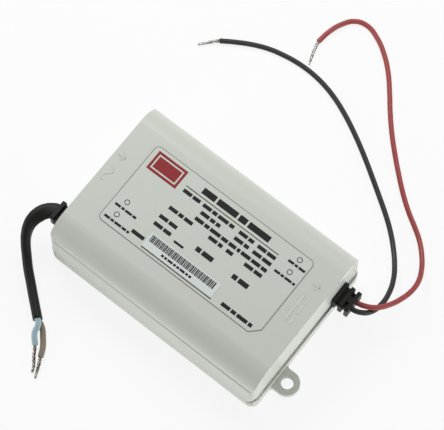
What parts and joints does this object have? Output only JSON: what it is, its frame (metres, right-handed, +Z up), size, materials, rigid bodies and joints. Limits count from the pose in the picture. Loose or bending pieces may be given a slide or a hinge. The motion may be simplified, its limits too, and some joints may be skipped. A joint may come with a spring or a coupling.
{
  "type": "led driver",
  "caption": "Small mains LED driver: light grey two-part plastic case with a screw tab, printed label, ribbed cable outlets, flat mains cord and thin output wires.",
  "frame": {"origin": "middle of the underside of the case, on the surface that it stands on", "axes": "+X along the case from the mains end to the output end, +Y across it, +Z up to the label"},
  "size_m": [0.1142, 0.1656, 0.0273],
  "materials": {
    "case_plastic": "fine satin moulded plastic",
    "label_film": "satin printed film",
    "sticker_paper": "coated paper",
    "black_pvc": "satin flexible plastic",
    "black_insulation": "smooth wire insulation",
    "red_insulation": "smooth wire insulation",
    "blue_insulation": "smooth wire insulation",
    "brown_insulation": "smooth wire insulation",
    "bare_copper": "bright stranded copper",
    "tinned_copper": "bright tinned copper",
    "board_laminate": "glass fibre laminate",
    "dark_epoxy": "moulded epoxy",
    "blue_lacquer": "dipped lacquer",
    "yellow_film_case": "moulded box",
    "wound_copper": "enamelled wire",
    "capacitor_sleeve": "shrink sleeve",
    "ferrite": "sintered ferrite",
    "bobbin_plastic": "moulded plastic",
    "winding_tape": "polyester tape",
    "heatsink_metal": "plain sheet",
    "screw_steel": "plated",
    "white_epoxy": "moulded epoxy",
    "resistor_body": "lacquered"
  },
  "bodies": {
    "root": {"base_tray": "case_plastic", "upper_shell": "case_plastic", "rating_label": "label_film", "serial_sticker": "sticker_paper", "ac_strain_relief": "black_pvc", "dc_strain_relief": "black_pvc", "ac_cable_jacket": "black_pvc", "ac_cable_inner": "black_pvc", "black_wire": "black_insulation", "black_lead_inner": "black_insulation", "red_wire": "red_insulation", "red_lead_inner": "red_insulation", "blue_core_tail": "blue_insulation", "blue_lead_inner": "blue_insulation", "brown_core_tail": "brown_insulation", "brown_lead_inner": "brown_insulation", "blue_core_strands": "bare_copper", "brown_core_strands": "bare_copper", "red_wire_strands": "tinned_copper", "black_wire_strands": "tinned_copper", "circuit_board": "board_laminate", "fuse": "dark_epoxy", "bridge_rectifier": "dark_epoxy", "switching_transistor": "dark_epoxy", "control_chip": "dark_epoxy", "output_diode": "dark_epoxy", "varistor": "blue_lacquer", "y_capacitor": "blue_lacquer", "x_capacitor": "yellow_film_case", "line_filter_choke": "wound_copper", "bulk_capacitor": "capacitor_sleeve", "output_capacitors": "capacitor_sleeve", "transformer_core": "ferrite", "transformer_bobbin": "bobbin_plastic", "transformer_winding": "winding_tape", "heatsink": "heatsink_metal", "heatsink_screw": "screw_steel", "optocoupler": "white_epoxy", "axial_resistors": "resistor_body"}
  },
  "joints": []
}
